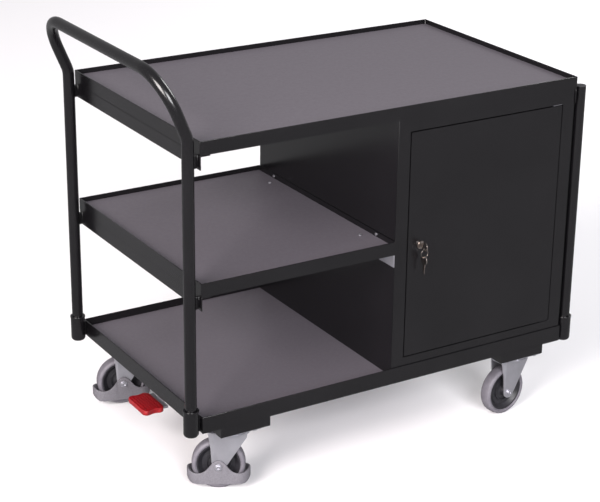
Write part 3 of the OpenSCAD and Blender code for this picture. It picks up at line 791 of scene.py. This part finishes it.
for wheel, joint in wheel_joints.items():
    out = guard_half_w if wheel.startswith("handle") else plain_fork_half_w
    washer = [(0, out), (8.2, out), (8.5, out + 0.3)]
    washer += [(8.5, out + 1.3), (8.2, out + 1.6), (0, out + 1.6)]
    head = [(0, out + 1.5), (6, out + 1.5)] + arc(5.3, out + 4.0, 0.8, 0, 90, 3)
    head += [(3.4, out + 4.8), (2.9, out + 4.3), (2.9, out + 2.6), (0, out + 2.6)]
    shank = [(0, -out - 3), (4.9, -out - 3), (4.9, out + 1.5), (0, out + 1.5)]
    build = bmesh.new()
    outward, inward = axle_place(joint, -1), axle_place(joint)
    for profile in (washer, head, shank):
        turned(build, profile, outward, 40)
    turned(build, washer, inward, 40)
    prism(build, hexagon(15), out + 1.5, out + 5.8, inward)
    show(finished(build, "axle_screw_" + wheel), "axle_screw_" + wheel, ["axle_" + wheel],
         joint["parent"], "zinc_steel")
print("axle screws:", len(wheel_joints))

# %% [markdown]
# ## Keys and split ring
# The keys are stamped from flat brass and nickel plated: a round bow, a shoulder and a blade with
# cuts. A two-dimensional curve with a hole is the natural form for a stamping. The ring is wire
# wound twice round, so it goes through the same tree as the tubes.

# %% Keys and ring
def stamped_key(blade_mm, hole_mm, name):
    """A key in its own plane, bow at the origin and blade along X, as a mesh."""
    bow_line = arc(0, 0, 11, 25, 335, 28)
    blade = [(11.5, -4), (14, -4), (14.6, -3)]
    cuts = (1.1, 2.2, 0.8, 1.8, 1.4, 2.4)
    step = (blade_mm - 8) / len(cuts)
    for i, depth in enumerate(cuts):
        x = 14.6 + i * step
        blade += [(x, -3.4), (x + step * 0.35, -3.4 + depth), (x + step * 0.65, -3.4 + depth)]
    tip = 11 + blade_mm
    blade += [(tip - 3, -3.2), (tip, 0), (tip - 2.5, 3.4), (14.6, 3.4), (14, 4), (11.5, 4)]
    hole = arc(hole_mm[0], hole_mm[1], 3, 0, 345, 23)
    flat = bpy.data.curves.new(name, "CURVE")
    flat.dimensions, flat.fill_mode = "2D", "BOTH"
    flat.extrude, flat.bevel_depth, flat.bevel_resolution = 0.8 * mm, 0.2 * mm, 1
    for outline in (bow_line + blade, hole):
        spline = flat.splines.new("POLY")
        spline.points.add(len(outline) - 1)
        for point, (x, y) in zip(spline.points, outline):
            point.co = (x * mm, y * mm, 0, 1)
        spline.use_cyclic_u = True
    maker = bpy.data.objects.new(name, flat)
    bpy.context.scene.collection.objects.link(maker)
    bpy.context.view_layer.update()
    evaluated = maker.evaluated_get(bpy.context.evaluated_depsgraph_get())
    mesh = bpy.data.meshes.new_from_object(evaluated)
    bpy.data.objects.remove(maker)
    build = bmesh.new()
    build.from_mesh(mesh)
    bmesh.ops.remove_doubles(build, verts=build.verts, dist=1e-6)
    bmesh.ops.recalc_face_normals(build, faces=build.faces)
    build.to_mesh(mesh)
    build.free()
    smooth_between_creases(mesh)
    return mesh


key_low, key_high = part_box("lock_key")
key_x, key_z = (key_low.x + key_high.x) / 2, (key_low.z + key_high.z) / 2
upright = Matrix.Rotation(math.radians(90), 4, "Z") @ Matrix.Rotation(math.radians(90), 4, "X")
inserted = stamped_key(20, (0, -5), "inserted_key")
inserted.transform(Matrix.Translation((key_x, key_low.y + 0.011, key_z)) @ upright)
show(inserted, "inserted_key", ["lock_key"], "lock", "nickel")

spare_low, spare_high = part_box("spare_key")
hanging = stamped_key(24, (-5, 0), "hanging_key")
hanging.transform(
    Matrix.Translation((key_x, (spare_low.y + spare_high.y) / 2, spare_high.z - 0.011))
    @ Matrix.Rotation(math.radians(-90), 4, "X") @ upright
)
show(hanging, "hanging_key", ["spare_key"], "second_key", "nickel")

ring_low, ring_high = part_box("key_ring")
ring_centre = (ring_low + ring_high) / 2
coil_r, coil_pitch, wire_r, coil_steps = 0.0095, 0.00035, 0.00042, 128
coil = [
    ring_centre
    + Vector((coil_r * math.sin(t), coil_pitch * (t / math.pi / 2 - 1), coil_r * math.cos(t)))
    for t in [math.pi * 4 * i / coil_steps + 0.6 for i in range(coil_steps + 1)]
]
ring_values = {
    bar_inputs["radius"]: wire_r, bar_inputs["sides"]: 12, bar_inputs["material"]: nickel_plate
}
show(run_tree(bar_tree, path_mesh([coil], "ring_path"), ring_values, "split_ring"), "split_ring",
     ["key_ring"], "ring", "nickel")

# %% [markdown]
# ## Pedal tread
# The tread is a moulded pad with rounded corners and rows of short ribs that grip a shoe. The
# ribs repeat on a grid, so a Geometry Nodes tree sets one rib on each point of the grid.

# %% A tree that repeats one shape on a grid, and the tread
grid_tree = new_tree("ribs_on_a_grid")
grid_inputs = {
    "rib": group_input(grid_tree, "Rib", "NodeSocketObject", None),
    "turn": group_input(grid_tree, "Turn", "NodeSocketFloat", 0.0),
    "material": group_input(grid_tree, "Finish", "NodeSocketMaterial", None),
}
asked = add(grid_tree, "NodeGroupInput")
rib_shape = add(grid_tree, "GeometryNodeObjectInfo", {"Object": asked.outputs["Rib"]})
turn_by = add(grid_tree, "ShaderNodeCombineXYZ", {"Z": asked.outputs["Turn"]})
placed = add(
    grid_tree,
    "GeometryNodeInstanceOnPoints",
    {"Points": asked.outputs["Geometry"], "Instance": rib_shape.outputs["Geometry"],
     "Rotation": turn_by.outputs["Vector"]},
)
real = add(grid_tree, "GeometryNodeRealizeInstances", {"Geometry": placed.outputs["Instances"]})
painted = add(
    grid_tree,
    "GeometryNodeSetMaterial",
    {"Geometry": real.outputs["Geometry"], "Material": asked.outputs["Finish"]},
)
add(grid_tree, "NodeGroupOutput", {"Geometry": painted.outputs["Geometry"]})

tread_low, tread_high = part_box("brake_tread")
rib_height, rib_half_l, rib_half_w = 0.0022, 0.0034, 0.0011
rib_rows, rib_columns, row_pitch, column_pitch = 6, 10, 0.0075, 0.0078
build = bmesh.new()
plate(
    build, (-rib_half_l, -rib_half_w, -0.001), (rib_half_l, rib_half_w, rib_height - 0.0001), 0.6
)
rib_object = bpy.data.objects.new("rib", finished(build, "rib"))
bpy.context.scene.collection.objects.link(rib_object)
points = bpy.data.meshes.new("rib_points")
spots = []
for row in range(rib_rows):
    for column in range(rib_columns):
        shift = 0.5 if row % 2 else 0.0
        x = tread_low.x + 0.0075 + row * row_pitch
        y = tread_low.y + 0.012 + (column + shift) * column_pitch
        if y < tread_high.y - 0.011:
            spots.append((x, y, tread_high.z - rib_height))
points.from_pydata(spots, [], [])
ribs = run_tree(
    grid_tree, points,
    {
        grid_inputs["rib"]: rib_object,
        grid_inputs["turn"]: math.radians(62),
        grid_inputs["material"]: pedal_plastic,
    },
    "tread_ribs",
)
bpy.data.objects.remove(rib_object)
show(ribs, "tread_ribs", [], "pedal", "pedal_red")
print("ribs on the tread:", len(spots))

corner, scoop = 0.009, 0.005
pad_middle = (tread_low + tread_high) / 2
pad_half = (tread_high - tread_low) / 2


def scooped(x, y):
    """Draws the short ends of the pad in towards its middle."""
    inward = scoop * max(0.0, 1 - ((x - pad_middle.x) / (pad_half.x - corner)) ** 2)
    return x, y - math.copysign(inward, y - pad_middle.y) * abs(y - pad_middle.y) / pad_half.y


outline = []
for sx, sy, start in ((1, 1, 0), (-1, 1, 90), (-1, -1, 180), (1, -1, 270)):
    cx = pad_middle.x + sx * (pad_half.x - corner)
    cy = pad_middle.y + sy * (pad_half.y - corner)
    for i in range(9):
        angle = math.radians(start + 90 * i / 8)
        outline.append((cx + corner * math.cos(angle), cy + corner * math.sin(angle)))
    if start in (0, 180):
        run = 2 * (pad_half.x - corner)
        outline += [scooped(cx - sx * run * i / 12, cy + sy * corner) for i in range(1, 12)]
build = bmesh.new()
foot = [build.verts.new((x, y, tread_low.z)) for x, y in outline]
top = [build.verts.new((x, y, tread_high.z - rib_height + 0.0006)) for x, y in outline]
build.faces.new(list(reversed(foot)))
build.faces.new(top)
for i in range(len(outline)):
    j = (i + 1) % len(outline)
    build.faces.new((foot[i], foot[j], top[j], top[i]))
rims = [e for e in build.edges if abs(e.verts[0].co.z - e.verts[1].co.z) < 1e-6]
bmesh.ops.bevel(build, geom=rims, offset=0.003, segments=4, profile=0.5, affect="EDGES")
show(finished(build, "pedal_pad", 40), "pedal_pad", ["brake_tread"], "pedal", "pedal_red")
